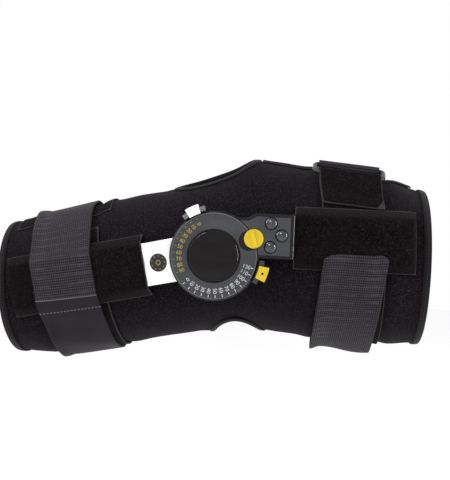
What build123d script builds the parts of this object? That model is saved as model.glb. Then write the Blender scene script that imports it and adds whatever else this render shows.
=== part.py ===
from build123d import *
import math
import os

# Hinged wrap-around knee brace in its worn shape, with the knee bent by 12.5 degrees.
# Frame, in mm: the origin is on the knee's axis, midway between the two hinges.
# +X runs up the thigh, +Z to the front (kneecap), and the lateral side faces -Y.
# Pieces of the shin are drawn on a straight leg, along -X, then turned into the rest pose.
# The thigh's soft pieces are drawn on a level thigh, then turned to its own slope.

# ---- driving dimensions ----
REST_FLEXION = 12.5  # degrees
WEBBING = 50.0  # width of every strap, band and bar cover

# wrap
WALL = 5.0  # padded neoprene
THIGH_R = 71.0  # outer radii
KNEE_R = 70.2
CALF_R = 61.0
THIGH_AXIS_Z = 3.0  # the thigh's middle line lies in front of the pivot
THIGH_TILT = 5.2  # degrees that it slopes to the back, away from the knee
THIGH_TILT_X = 110.0  # it crosses its level line here
THIGH_NECK_R = 57.0  # at the knee, inside the knee's round
THIGH_FULL_AT = 30.0
THIGH_END = 166.0
CALF_END = 177.0
CALF_FULL_AT = 84.0  # where the cone below the knee meets the calf's tube
FRONT_EDGE = 36.0  # the knee section's half length in front
BACK_EDGE_ANGLE = 28.5  # its edge behind, from each limb's line: less than half of 60
SEAM_GAP = 0.4
PATELLA_X = 1.0
PATELLA_TURN = 11.0  # degrees from the front line to the kneecap opening, on the lateral side
PATELLA_HALF = (27.0, 20.0)  # half length and half width of the opening
POPLITEAL_X = 12.0  # cut-out behind the knee
POPLITEAL_HALF = (24.0, 35.0)
BINDING_W = 6.0
BINDING_T = 1.0

# closures, bands, straps and their rings
FLAP_T = 1.0
FLAP_FROM = -34.0  # degrees from the front line, lateral side positive
FLAP_TO = 14.0
THIGH_FLAP = (66.0, 152.0)  # from and to, along the limb
CALF_FLAP = (86.0, 164.0)
LAYER_GAP = 0.3
BAND_T = 1.6
BAND_LIFT = 1.2  # the bands' middle, in front of the limb's middle: they clear the flaps
STRAP_T = 1.8
THIGH_BAND_X = 105.5
THIGH_STRAP_X = 110.0
THIGH_RING_X = 97.0
CALF_BAND_X = 119.0
CALF_STRAP_X = 125.0
CALF_RING_X = 121.0
STRAP_END_Z = 2.0  # the strap's hook end lies on the bar cover up to here
RING_LENGTH = 60.0
RING_WIDTH = 16.0
RING_BAR_R = 2.2
RING_CORNER_R = 3.5
RING_CLEAR = 0.05
RING_RISE = 6.6  # the ring's middle above the wrap
THIGH_RING_TILT = 26.0  # degrees from the front line to the ring's middle
CALF_RING_TILT = 52.0
FLAT_BEYOND = 4.0  # a strap stays flat this far past a bar cover's edges
FRONT_ROOM = 4.0  # a strap clears the front of the wrap and its flap by at least this
CUFF_T = 1.4  # webbing turned round a ring's bar

# hinge, drawn with x and y in the leg's side plane and z outwards from the leg's middle
HINGE_IN = 74.2  # inner face of the back cover
BACK_T = 1.6
BAR_T = 2.5
WASHER_T = 0.5
SLACK = 0.3  # between flat faces that move past each other
TOUCH = 0.05  # between flat faces that are held together
FINGER_T = 1.8
DIAL_R = 35.0
DIAL_BEVEL = 1.2
FACE_R = 33.6  # the dial's raised face
FACE_STEP = 0.7
ARM_FACE_INSET = 2.4  # the arm's raised face lies inside its flange
GROOVE_W = 1.0
GROOVE_DEPTH = 0.8
COVER_T = 2.6
COVER_WALL = 2.0
CAP_R = 20.0
CAP_EDGE = 1.0
CAP_BEVEL = 1.1
CAP_RISE = 3.4
PIVOT_R = 4.0
PIVOT_HEAD_R = 8.5
PIVOT_HEAD_T = 1.4
PIVOT_FIT = 0.06  # radial running clearance
WASHER_R = 12.0
SWEEP_FROM = 108.0  # the hinge's rim is open between these angles
SWEEP_TO = 352.0
ARM_END = 61.0
ARM_HIGH = 34.5
ARM_NECK = 31.0
ARM_STEP_FROM = 25.0
ARM_STEP_TO = 31.0
THIGH_HEAD_R = 25.0
THIGH_BAR_EDGES = (0.5, 34.0)
THIGH_BAR_END = 152.0
SHIN_HEAD_R = 24.0
SHIN_LUG_R = 32.5
SHIN_LUG_FROM = 124.0  # stop faces of a straight shin's head
SHIN_LUG_TO = 216.0
SHIN_BAR_W = 34.0
SHIN_BAR_SHIFT = 2.3  # the bar's middle, in front of the shin's line
SHIN_BAR_END = 167.0
BEND_FROM = 37.0  # the shin bar slopes in to the calf between these places
BEND_TO = 100.0
SHIN_BAR_DROP = 13.1
POCKET_GAP = 0.25
POCKET_WALL = 1.5
THIGH_COVER_FROM = 61.4
THIGH_COVER_TO = 157.0
CALF_COVER_FROM = 56.5
CALF_COVER_TO = 173.0
THIGH_COVER_MID = 17.5
RIVETS = ((43.5, 27.0), (52.0, 18.0), (43.5, 8.7))
RIVET_HEAD_R = 4.6
RIVET_RISE = 2.2
RIVET_R = 2.4
RIVET_TAIL_R = 3.6
RIVET_TAIL_T = 0.8
BOSS_R = 4.4
KNOB_AT = (30.6, 14.8)
KNOB_R = 7.5
KNOB_T = 1.6
GRIP_T = 2.2
GRIP_W = 3.2
GRIP_TURN = 16.0  # degrees, square to the bar to grip
STEM_R = 2.4
KNOB_TRAVEL = 4.2
RECESS = 1.0
PAWL_W = 9.0
STOP_HALF = 14.0  # half angles of a stop's slider, tab and finger
TAB_HALF = 7.6
FINGER_HALF = 6.0
STOP_IN = DIAL_R + 0.9
STOP_OUT = DIAL_R + 4.6
EXTENSION_TAB = (34.6, 41.9)  # inner and outer radii
FLEXION_TAB = (36.4, 44.2)
TAB_T = 2.0
FINGER_REACH = 28.0
TAB_HOLE_R = 0.9
EXTENSION_AT = 117.0
FLEXION_AT = 343.0
RIB_W = 0.7
RIB_H = 0.6
BADGE_R = 7.1
BADGE_T = 0.4
BADGE_AT = 44.6

# ---- levels of the hinge's layers ----
BACK_OUT = HINGE_IN + BACK_T
THIGH_BAR_IN = BACK_OUT + TOUCH
THIGH_BAR_OUT = THIGH_BAR_IN + BAR_T
SHIN_BAR_IN = THIGH_BAR_OUT + WASHER_T + 2 * TOUCH
SHIN_BAR_OUT = SHIN_BAR_IN + BAR_T
FINGER_IN = SHIN_BAR_OUT + SLACK
FINGER_OUT = FINGER_IN + FINGER_T
COVER_IN = FINGER_OUT + SLACK
COVER_OUT = COVER_IN + COVER_T

# ---- radii and faces of the layers round each limb ----
BAND_GAP = BAND_LIFT + LAYER_GAP / 2
THIGH_BAND_R = THIGH_R + BAND_GAP
CALF_BAND_R = CALF_R + BAND_GAP
THIGH_COVER_OUT = THIGH_BAR_OUT + POCKET_GAP + POCKET_WALL
CALF_COVER_OUT = SHIN_BAR_OUT - SHIN_BAR_DROP + POCKET_GAP + POCKET_WALL


# ---- helpers ----


def shin(shape):
    """Turn a piece drawn on a straight leg into the rest pose."""
    return Rot(0, -REST_FLEXION, 0) * shape


def thigh(shape):
    """Turn a piece drawn round a level thigh to the thigh's own slope."""
    pivot = Pos(THIGH_TILT_X, 0, THIGH_AXIS_Z)
    return pivot * Rot(0, THIGH_TILT, 0) * pivot.inverse() * shape


def lateral(shape):
    """Stand a piece of the hinge on the leg's lateral side."""
    return Rot(90, 0, 0) * shape


def medial(shape):
    return mirror(lateral(shape), about=Plane.XZ)


def disc(radius, low, high, at=(0.0, 0.0)):
    body = Cylinder(radius, high - low, align=(Align.CENTER, Align.CENTER, Align.MIN))
    return Pos(at[0], at[1], low) * body


def collar(outer, inner, low, high):
    return disc(outer, low, high) - disc(inner, low, high)


def block(x, y, z):
    """A box between pairs of low and high coordinates."""
    middle = Pos(sum(x) / 2, sum(y) / 2, sum(z) / 2)
    return middle * Box(x[1] - x[0], y[1] - y[0], z[1] - z[0])


def prism(points, low, high):
    outline = Polyline(*points, close=True)
    return Pos(0, 0, low) * extrude(make_face(outline), high - low)


def polar(radius, angle):
    return (radius * math.cos(math.radians(angle)), radius * math.sin(math.radians(angle)))


def sector(inner, outer, middle, half, low, high):
    """A piece of a collar about the hinge's axis, half an angle to each side of its middle."""
    turns = (middle - half, middle, middle + half)
    far = [polar(outer, turn) for turn in turns]
    near = [polar(inner, turn) for turn in turns]
    outline = [
        ThreePointArc(far[0], far[1], far[2]),
        Line(far[2], near[2]),
        ThreePointArc(near[2], near[1], near[0]),
        Line(near[0], far[0]),
    ]
    return Pos(0, 0, low) * extrude(make_face(outline), high - low)


def obround(start, end, radius, low, high):
    """A plate with round ends about two points."""
    length = math.dist(start, end)
    turn = math.degrees(math.atan2(end[1] - start[1], end[0] - start[0]))
    middle = Pos((start[0] + end[0]) / 2, (start[1] + end[1]) / 2, low)
    shape = SlotCenterToCenter(length, 2 * radius)
    return middle * Rot(0, 0, turn) * extrude(shape, high - low)


def along_limb(face, middle, length, axis_z=0.0):
    """Extrude a face drawn as (y, z) along the limb, about its middle place."""
    upright = Plane(origin=(middle - length / 2, 0, axis_z), x_dir=(0, 1, 0), z_dir=(1, 0, 0))
    return extrude(upright * face, length)


# ---- wrap ----


def leg_envelope(inset, over=0.0):
    """The wrapped leg as one solid, smaller by an inset and longer by an overrun."""
    thigh_outline = Polyline(
        (0, 0),
        (THIGH_END + over, 0),
        (THIGH_END + over, THIGH_R - inset),
        (THIGH_FULL_AT, THIGH_R - inset),
        (0, THIGH_NECK_R - inset),
        close=True,
    )
    upper = thigh(Pos(0, 0, THIGH_AXIS_Z) * revolve(make_face(thigh_outline), Axis.X))
    calf_outline = Polyline(
        (0, 0),
        (-CALF_END - over, 0),
        (-CALF_END - over, CALF_R - inset),
        (-CALF_FULL_AT, CALF_R - inset),
        (0, THIGH_R - inset),
        close=True,
    )
    calf = revolve(make_face(calf_outline), Axis.X)
    return upper + shin(calf) + Sphere(KNEE_R - inset)


def limb_space(side, gap):
    """The space of one limb's own section: thigh (side 1) or straight shin (side -1)."""
    reach = 260.0
    slope = math.tan(math.radians(BACK_EDGE_ANGLE))
    outline = Polyline(
        (side * (FRONT_EDGE + gap), reach),
        (side * (FRONT_EDGE + gap), -FRONT_EDGE * slope),
        (side * (reach + gap), -reach * slope),
        (side * reach, reach),
        close=True,
    )
    return extrude(Plane.XZ * make_face(outline), 150.0, both=True)


def patella_post(grow=0.0):
    """The kneecap opening's own space, an oval post turned off the front line."""
    outline = Ellipse(PATELLA_HALF[0] + grow, PATELLA_HALF[1] + grow)
    return Rot(PATELLA_TURN, 0, 0) * Pos(PATELLA_X, 0, 20) * extrude(outline, 80)


def popliteal_post():
    return Pos(POPLITEAL_X, 0, -20) * extrude(Ellipse(*POPLITEAL_HALF), -80)


def wrap_sections():
    wall = leg_envelope(0.0) - leg_envelope(WALL, over=2.0)
    upper = wall & limb_space(1, SEAM_GAP)
    calf = wall & shin(limb_space(-1, SEAM_GAP))
    knee = wall - limb_space(1, 0.0) - shin(limb_space(-1, 0.0))
    knee = knee - patella_post() - popliteal_post()
    return upper, knee, calf


def end_binding(radius, end):
    """Tape folded over the wrap's end: outside and end face."""
    outside = along_limb(
        Circle(radius + BINDING_T) - Circle(radius), end - (BINDING_W - BINDING_T) / 2, BINDING_W
    )
    face = Circle(radius + BINDING_T) - Circle(radius - WALL)
    return outside, along_limb(face, end + BINDING_T / 2, BINDING_T)


def thigh_end_binding():
    skin, face = end_binding(THIGH_R, THIGH_END)
    return thigh(Pos(0, 0, THIGH_AXIS_Z) * (skin + face))


def calf_end_binding():
    skin, face = end_binding(CALF_R, CALF_END)
    return shin(mirror(skin + face, about=Plane.YZ))


def patella_binding(knee):
    """Tape round the kneecap opening: its edge and a lip on the outside."""
    skin = leg_envelope(-BINDING_T) - leg_envelope(WALL)
    lip = patella_post(4.0) - patella_post(-BINDING_T)
    return (skin & lip) - knee


def front_arc(radius, thick, start, end):
    """A curved strip's section, from one angle to another off the front line."""
    turns = (90 + start, 90 + (start + end) / 2, 90 + end)
    far = [polar(radius + thick, turn) for turn in turns]
    near = [polar(radius, turn) for turn in turns]
    outline = [
        ThreePointArc(far[0], far[1], far[2]),
        Line(far[2], near[2]),
        ThreePointArc(near[2], near[1], near[0]),
        Line(near[0], far[0]),
    ]
    return make_face(outline)


def closure_flap(radius, axis_z, ends):
    """The overlapping edge that closes the wrap in front."""
    section = front_arc(radius + 0.1, FLAP_T, FLAP_FROM, FLAP_TO)
    return along_limb(section, sum(ends) / 2, ends[1] - ends[0], axis_z)


# ---- bands, straps and rings, drawn on +X with the ring on the lateral side of the front ----


def ring_bar_place(limb_r, axis_z, tilt, side):
    """Middle of a ring's long bar, as (y, z): nearer the side (1) or nearer the front (-1)."""
    reach = limb_r + RING_RISE
    turn = math.radians(tilt)
    half = side * RING_WIDTH / 2
    y = -reach * math.sin(turn) - half * math.cos(turn)
    z = axis_z + reach * math.cos(turn) - half * math.sin(turn)
    return (y, z)


def rod(start, end, radius):
    """A round bar between two points."""
    line = Vector(end) - Vector(start)
    place = Plane(origin=start, z_dir=line.normalized())
    return extrude(place * Circle(radius), line.length)


def strap_ring(limb_r, axis_z, tilt, middle, grow=0.0):
    """Round bar bent to a rectangle with rounded corners; grow makes room for it."""
    length = RING_LENGTH - 2 * RING_BAR_R
    path = RectangleRounded(length, RING_WIDTH, RING_CORNER_R).wire()
    section = Plane(origin=path @ 0, z_dir=path % 0) * Circle(RING_BAR_R + grow)
    frame = sweep(section, path=path)
    return Pos(middle, 0, axis_z) * Rot(tilt, 0, 0) * Pos(0, 0, limb_r + RING_RISE) * frame


def cuff(limb_r, axis_z, tilt, side, middle):
    """Webbing turned round a ring's long bar, before the ring's own space is cut."""
    y, z = ring_bar_place(limb_r, axis_z, tilt, side)
    ends = ((middle - WEBBING / 2, y, z), (middle + WEBBING / 2, y, z))
    return rod(*ends, RING_BAR_R + CUFF_T)


def loop_band(limb_r, band_r, axis_z, tilt, middle, ring_middle):
    """Band under the strap: from the ring's lower bar round the side and back."""
    y, z = ring_bar_place(limb_r, axis_z, tilt, 1)
    centre_z = axis_z + BAND_LIFT
    section = Circle(band_r + BAND_T) - Circle(band_r)
    turn = math.degrees(math.atan2(z - centre_z, y))
    free = [polar(200, turn), polar(200, 40), (0.0, 0.0)]
    section -= make_face(Polyline(*free, close=True))
    body = along_limb(section, middle, WEBBING, centre_z)
    fold = cuff(limb_r, axis_z, tilt, 1, ring_middle)
    return body + fold - strap_ring(limb_r, axis_z, tilt, ring_middle, RING_CLEAR)


def strap_section(half, low, high, top, bottom):
    """A loop with two flat sides, over the bar covers, and a round front and back."""
    outline = [
        Line((-half, low), (-half, high)),
        ThreePointArc((-half, high), (0, top), (half, high)),
        Line((half, high), (half, low)),
        ThreePointArc((half, low), (0, bottom), (-half, low)),
    ]
    return make_face(outline)


def strap(limb_r, band_r, axis_z, tilt, cover, middle, ring_middle):
    """Hook strap: from the lateral cover round the back and up to the ring's upper bar.

    cover holds the bar cover's outer face, low edge and high edge.
    """
    face, low, high = cover
    half = face + LAYER_GAP
    y, z = ring_bar_place(limb_r, axis_z, tilt, -1)
    top = max(z + RING_BAR_R + 2 * LAYER_GAP, axis_z + limb_r + FRONT_ROOM)
    bottom = axis_z + BAND_LIFT - band_r - BAND_T - LAYER_GAP
    edges = (low - FLAT_BEYOND, high + FLAT_BEYOND)
    inner = strap_section(half, *edges, top, bottom)
    outer = strap_section(half + STRAP_T, *edges, top + STRAP_T, bottom - STRAP_T)
    free = [(y, 200.0), (y, z), (-half + 20.0, STRAP_END_Z), (-200.0, STRAP_END_Z), (-200.0, 200.0)]
    section = outer - inner - make_face(Polyline(*free, close=True))
    body = along_limb(section, middle, WEBBING)
    fold = cuff(limb_r, axis_z, tilt, -1, ring_middle)
    return body + fold - strap_ring(limb_r, axis_z, tilt, ring_middle, RING_CLEAR)


# ---- bar covers ----


def thigh_cover():
    """Pocket on the thigh, open towards the knee, that holds the thigh bar."""
    half = WEBBING / 2
    y = (THIGH_COVER_MID - half, THIGH_COVER_MID + half)
    low = THIGH_BAR_IN - POCKET_GAP - POCKET_WALL
    body = block((THIGH_COVER_FROM, THIGH_COVER_TO), y, (low, THIGH_COVER_OUT))
    room_y = (THIGH_BAR_EDGES[0] - POCKET_GAP, THIGH_BAR_EDGES[1] + POCKET_GAP)
    room_z = (THIGH_BAR_IN - POCKET_GAP, THIGH_BAR_OUT + POCKET_GAP)
    room = block((THIGH_COVER_FROM - 1, THIGH_BAR_END + 0.5), room_y, room_z)
    return body - room


def bent_strip(start, end, low, high, width):
    """A strip along the shin bar's bent line, between two offsets from its inner face."""
    points = []
    for place, drop in ((start, 0), (BEND_FROM, 0), (BEND_TO, 1), (end, 1)):
        if place >= start:
            points.append((place, SHIN_BAR_IN - drop * SHIN_BAR_DROP))
    if start > BEND_FROM:
        part_way = (start - BEND_FROM) / (BEND_TO - BEND_FROM)
        points[0] = (start, SHIN_BAR_IN - part_way * SHIN_BAR_DROP)
    outline = [(-place, level + low) for place, level in points]
    outline += [(-place, level + high) for place, level in reversed(points)]
    section = Plane.XZ * make_face(Polyline(*outline, close=True))
    return Pos(0, SHIN_BAR_SHIFT, 0) * extrude(section, width / 2, both=True)


def calf_cover():
    skin = POCKET_GAP + POCKET_WALL
    body = bent_strip(CALF_COVER_FROM, CALF_COVER_TO, -skin, BAR_T + skin, WEBBING)
    width = SHIN_BAR_W + 2 * POCKET_GAP
    room_end = SHIN_BAR_END + 0.5
    room = bent_strip(CALF_COVER_FROM - 1, room_end, -POCKET_GAP, BAR_T + POCKET_GAP, width)
    return Rot(0, 0, REST_FLEXION) * (body - room)


# ---- hinge ----


def arm_outline(inset=0.0):
    return [
        (10, ARM_NECK - inset),
        (ARM_STEP_FROM + inset / 2, ARM_NECK - inset),
        (ARM_STEP_TO + inset / 2, ARM_HIGH - inset),
        (ARM_END - inset, ARM_HIGH - inset),
        (ARM_END - inset, inset),
        (10, inset),
    ]


def housing(inset, low, high):
    """Dial and arm in one outline."""
    return disc(DIAL_R - inset, low, high) + prism(arm_outline(inset), low, high)


def back_cover():
    body = housing(0.0, HINGE_IN, BACK_OUT) - disc(PIVOT_R, HINGE_IN, BACK_OUT)
    for at in RIVETS:
        body -= disc(RIVET_R, HINGE_IN, BACK_OUT, at)
    return body


def thigh_bar_blank(low, high, grow=0.0):
    low_side, high_side = THIGH_BAR_EDGES
    outline = [
        (-6, THIGH_HEAD_R - 2 + grow),
        (12, ARM_NECK - 1 + grow),
        (ARM_STEP_FROM + 1, ARM_NECK - 1 + grow),
        (ARM_STEP_TO + 1, high_side + grow),
        (THIGH_BAR_END, high_side + grow),
        (THIGH_BAR_END, low_side - grow),
        (0, low_side - grow),
    ]
    return disc(THIGH_HEAD_R + grow, low, high) + prism(outline, low, high)


def thigh_bar():
    body = thigh_bar_blank(THIGH_BAR_IN, THIGH_BAR_OUT)
    body -= disc(PIVOT_R, THIGH_BAR_IN, THIGH_BAR_OUT)
    for at in RIVETS:
        body -= disc(RIVET_R, THIGH_BAR_IN, THIGH_BAR_OUT, at)
    return body


def shin_bar():
    """Hinge head with its stop faces, and the bar bent in to the calf."""
    middle = (SHIN_LUG_FROM + SHIN_LUG_TO) / 2
    half = (SHIN_LUG_TO - SHIN_LUG_FROM) / 2
    body = disc(SHIN_HEAD_R, SHIN_BAR_IN, SHIN_BAR_OUT)
    body += sector(10, SHIN_LUG_R, middle, half, SHIN_BAR_IN, SHIN_BAR_OUT)
    body += bent_strip(12.0, SHIN_BAR_END, 0.0, BAR_T, SHIN_BAR_W)
    body -= disc(PIVOT_R + PIVOT_FIT, SHIN_BAR_IN, SHIN_BAR_OUT)
    return Rot(0, 0, REST_FLEXION) * body


def badge_disc():
    """Plain round plate on the sloping part of the shin bar."""
    rise = SHIN_BAR_DROP / (BEND_TO - BEND_FROM)
    level = SHIN_BAR_OUT - (BADGE_AT - BEND_FROM) * rise
    place = Pos(-BADGE_AT, SHIN_BAR_SHIFT, level) * Rot(0, -math.degrees(math.atan(rise)), 0)
    return Rot(0, 0, REST_FLEXION) * place * disc(BADGE_R, 0.02, 0.02 + BADGE_T)


def slide_end():
    """Where the lock knob's middle comes to when it is pushed towards the pivot."""
    reach = math.hypot(*KNOB_AT)
    scale = (reach - KNOB_TRAVEL) / reach
    return (KNOB_AT[0] * scale, KNOB_AT[1] * scale)


def rivet_groove(at):
    low = COVER_OUT - GROOVE_DEPTH
    ring = collar(RIVET_HEAD_R + GROOVE_W / 2, RIVET_HEAD_R - GROOVE_W / 4, low, COVER_OUT)
    return Pos(at[0], at[1], 0) * ring


def front_cover():
    """Dial ring and arm in one moulding, with its rim, rivet bosses and the knob's slot."""
    flange = COVER_OUT - FACE_STEP
    top = disc(DIAL_R, COVER_IN, flange)
    top = chamfer(top.edges().group_by(Axis.Z)[-1], DIAL_BEVEL)
    top += disc(FACE_R, COVER_IN, COVER_OUT)
    arm = prism(arm_outline(), COVER_IN, flange)
    arm += prism(arm_outline(ARM_FACE_INSET), COVER_IN, COVER_OUT)
    rim = housing(0.0, BACK_OUT + TOUCH, COVER_IN) - housing(COVER_WALL, BACK_OUT, COVER_IN)
    middle = (SWEEP_FROM + SWEEP_TO) / 2
    half = (SWEEP_TO - SWEEP_FROM) / 2
    rim -= sector(15, DIAL_R + 2, middle, half, BACK_OUT, COVER_IN)
    for at in RIVETS:
        rim += disc(BOSS_R, THIGH_BAR_OUT, COVER_IN, at)
    rim -= thigh_bar_blank(BACK_OUT, THIGH_BAR_OUT + TOUCH, grow=TOUCH)
    body = top + arm + rim
    groove = COVER_OUT - GROOVE_DEPTH
    body -= disc(PIVOT_R, COVER_IN, COVER_OUT)
    body -= collar(FACE_R + GROOVE_W, FACE_R, groove, COVER_OUT)
    body -= collar(CAP_R + GROOVE_W, CAP_R - GROOVE_W, groove, COVER_OUT)
    for at in RIVETS:
        body -= disc(RIVET_R, BACK_OUT, COVER_OUT, at)
        body -= rivet_groove(at)
    body -= obround(KNOB_AT, slide_end(), KNOB_R + SLACK, COVER_OUT - RECESS, COVER_OUT)
    body -= obround(KNOB_AT, slide_end(), STEM_R + 0.2, COVER_IN, COVER_OUT)
    return body


def centre_cap():
    """Domed cap with a bevelled rim, hollow over the pivot's head."""
    low = COVER_OUT + TOUCH
    shoulder = low + CAP_EDGE + CAP_BEVEL
    body = disc(CAP_R, low, shoulder)
    body = chamfer(body.edges().group_by(Axis.Z)[-1], CAP_BEVEL)
    crown_r = CAP_R - CAP_BEVEL - 0.5
    rise = low + CAP_RISE - shoulder
    dome_r = (crown_r**2 + rise**2) / (2 * rise)
    ball = Pos(0, 0, low + CAP_RISE - dome_r) * Sphere(dome_r)
    body += ball & disc(CAP_R, shoulder - TOUCH, low + CAP_RISE)
    return body - disc(PIVOT_HEAD_R + 0.5, low, low + PIVOT_HEAD_T + 0.2)


def pivot_rivet():
    shank = disc(PIVOT_R, HINGE_IN, COVER_OUT)
    inner_head = disc(PIVOT_HEAD_R, HINGE_IN - PIVOT_HEAD_T, HINGE_IN)
    return shank + inner_head + disc(PIVOT_HEAD_R, COVER_OUT, COVER_OUT + PIVOT_HEAD_T)


def pivot_washer():
    low = THIGH_BAR_OUT + TOUCH
    return collar(WASHER_R, PIVOT_R + 0.1, low, low + WASHER_T)


def pivot_spacer():
    return collar(WASHER_R, PIVOT_R + 0.1, SHIN_BAR_OUT + TOUCH, COVER_IN - TOUCH)


def arm_rivets():
    """Three domed rivets through the arm, as separate solids of one sub-part."""
    dome_r = (RIVET_HEAD_R**2 + RIVET_RISE**2) / (2 * RIVET_RISE)
    pieces = []
    for at in RIVETS:
        ball = Pos(at[0], at[1], COVER_OUT + RIVET_RISE - dome_r) * Sphere(dome_r)
        head = ball & disc(RIVET_HEAD_R + 1, COVER_OUT, COVER_OUT + RIVET_RISE, at)
        tail = disc(RIVET_TAIL_R, HINGE_IN - RIVET_TAIL_T, HINGE_IN, at)
        pieces.append(head + disc(RIVET_R, HINGE_IN, COVER_OUT, at) + tail)
    return Compound(children=pieces)


def lock_button():
    """Round knob with a bar to grip, on a stem through the cover's slot."""
    low = COVER_OUT - RECESS + SLACK
    knob = disc(KNOB_R, low, low + KNOB_T)
    grip = Rot(0, 0, GRIP_TURN) * Pos(0, 0, low + KNOB_T + GRIP_T / 2)
    grip *= Box(GRIP_W, 2 * KNOB_R - 1.6, GRIP_T)
    stem = disc(STEM_R, FINGER_OUT, low)
    return Pos(KNOB_AT[0], KNOB_AT[1], 0) * (knob + grip + stem)


def lock_pawl():
    """Tongue under the cover that the knob slides towards the head's teeth."""
    turn = math.degrees(math.atan2(KNOB_AT[1], KNOB_AT[0]))
    reach = math.hypot(*KNOB_AT)
    body = block((SHIN_HEAD_R + 4.6, reach + 5), (-PAWL_W / 2, PAWL_W / 2), (FINGER_IN, FINGER_OUT))
    return Rot(0, 0, turn) * body


def stop_slider(at):
    """Grey slider outside the dial's rim, with ribbed wings and a finger under the cover."""
    top = COVER_OUT + 0.1
    body = sector(STOP_IN, STOP_OUT, at, STOP_HALF, FINGER_IN, top)
    body += sector(FINGER_REACH, STOP_IN + 1, at, FINGER_HALF, FINGER_IN, FINGER_OUT)
    for wing in (-1, 1):
        for step in range(3):
            turn = at + wing * (TAB_HALF + 1.6 + 1.9 * step)
            rib = block((STOP_IN, STOP_OUT), (-RIB_W / 2, RIB_W / 2), (top - 0.5, top + RIB_H))
            body += Rot(0, 0, turn) * rib
    return body


def stop_tab(at, radii):
    """Coloured tab over the slider, with a skirt outside it."""
    inner, outer = radii
    low = COVER_OUT + 0.1
    body = sector(inner, outer, at, TAB_HALF, low, low + TAB_T)
    return body + sector(STOP_OUT, outer, at, TAB_HALF, COVER_IN, low + TAB_T)


def flexion_tab():
    middle = polar(sum(FLEXION_TAB) / 2, FLEXION_AT)
    return stop_tab(FLEXION_AT, FLEXION_TAB) - disc(TAB_HOLE_R, COVER_IN, COVER_OUT + 3, middle)


# ---- assembly ----


def thigh_nodes(section):
    cover_y = (THIGH_COVER_MID - WEBBING / 2, THIGH_COVER_MID + WEBBING / 2)
    cover = (THIGH_COVER_OUT, *cover_y)
    radii = (THIGH_R, THIGH_BAND_R, THIGH_AXIS_Z, THIGH_RING_TILT)
    return {
        "wrap_thigh_section": section,
        "thigh_closure_flap": thigh(closure_flap(THIGH_R, THIGH_AXIS_Z, THIGH_FLAP)),
        "thigh_end_binding": thigh_end_binding(),
        "thigh_loop_band": thigh(loop_band(*radii, THIGH_BAND_X, THIGH_RING_X)),
        "thigh_strap": thigh(strap(*radii, cover, THIGH_STRAP_X, THIGH_RING_X)),
        "thigh_ring": thigh(
            strap_ring(THIGH_R, THIGH_AXIS_Z, THIGH_RING_TILT, THIGH_RING_X)
        ),
    }


def worn_on_calf(shape):
    """Turn a piece drawn on +X with a lateral ring into the calf's: ring on the medial side."""
    return shin(Rot(0, 0, 180) * shape)


def calf_nodes(section):
    cover_y = (SHIN_BAR_SHIFT - WEBBING / 2, SHIN_BAR_SHIFT + WEBBING / 2)
    slope = SHIN_BAR_DROP / (BEND_TO - BEND_FROM)
    lift = (BEND_TO - CALF_STRAP_X + WEBBING / 2) * slope
    cover = (CALF_COVER_OUT + lift, *cover_y)
    radii = (CALF_R, CALF_BAND_R, 0.0, CALF_RING_TILT)
    return {
        "wrap_calf_section": section,
        "calf_closure_flap": worn_on_calf(closure_flap(CALF_R, 0.0, CALF_FLAP)),
        "calf_end_binding": calf_end_binding(),
        "calf_loop_band": worn_on_calf(loop_band(*radii, CALF_BAND_X, CALF_RING_X)),
        "calf_strap": worn_on_calf(strap(*radii, cover, CALF_STRAP_X, CALF_RING_X)),
        "calf_ring": worn_on_calf(strap_ring(CALF_R, 0.0, CALF_RING_TILT, CALF_RING_X)),
    }


def hinge_pieces():
    return {
        "thigh_cover": thigh_cover(),
        "calf_cover": calf_cover(),
        "back_cover": back_cover(),
        "front_cover": front_cover(),
        "centre_cap": centre_cap(),
        "pivot_rivet": pivot_rivet(),
        "pivot_washer": pivot_washer(),
        "pivot_spacer": pivot_spacer(),
        "thigh_bar": thigh_bar(),
        "shin_bar": shin_bar(),
        "badge_disc": badge_disc(),
        "arm_rivets": arm_rivets(),
        "lock_button": lock_button(),
        "lock_pawl": lock_pawl(),
        "extension_stop": stop_slider(EXTENSION_AT),
        "extension_tab": stop_tab(EXTENSION_AT, EXTENSION_TAB),
        "flexion_stop": stop_slider(FLEXION_AT),
        "flexion_tab": flexion_tab(),
    }


def all_nodes():
    upper, knee, calf = wrap_sections()
    nodes = {"wrap_knee_section": knee, "patella_binding": patella_binding(knee)}
    nodes.update(thigh_nodes(upper))
    nodes.update(calf_nodes(calf))
    for name, piece in hinge_pieces().items():
        nodes["lateral_" + name] = lateral(piece)
        nodes["medial_" + name] = medial(piece)
    return nodes


os.makedirs("parts", exist_ok=True)
for node, solid in all_nodes().items():
    export_step(solid, f"parts/{node}.step")
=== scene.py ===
"""Looks of the hinged knee brace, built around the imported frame.

Lengths are in millimetres until a mesh is made. A place on the leg is (u, turn, out):
u runs along the leg, up the thigh from the knee's axis and negative down the calf,
turn is degrees from the front line, lateral side positive, and out is the height above the wrap.
"""

import math

import bmesh
import bpy
import numpy as np
from mathutils import Matrix, Vector, noise


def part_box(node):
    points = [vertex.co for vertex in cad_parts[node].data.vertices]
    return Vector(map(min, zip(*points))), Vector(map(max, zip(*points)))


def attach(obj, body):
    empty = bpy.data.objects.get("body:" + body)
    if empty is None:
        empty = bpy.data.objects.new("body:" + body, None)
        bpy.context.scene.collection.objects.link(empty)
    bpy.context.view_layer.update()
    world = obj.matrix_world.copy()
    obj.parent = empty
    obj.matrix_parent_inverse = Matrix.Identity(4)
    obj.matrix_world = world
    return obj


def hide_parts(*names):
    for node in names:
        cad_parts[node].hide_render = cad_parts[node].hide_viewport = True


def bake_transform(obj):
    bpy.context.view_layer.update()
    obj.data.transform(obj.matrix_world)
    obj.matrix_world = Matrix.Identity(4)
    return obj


MM = 0.001

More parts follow.
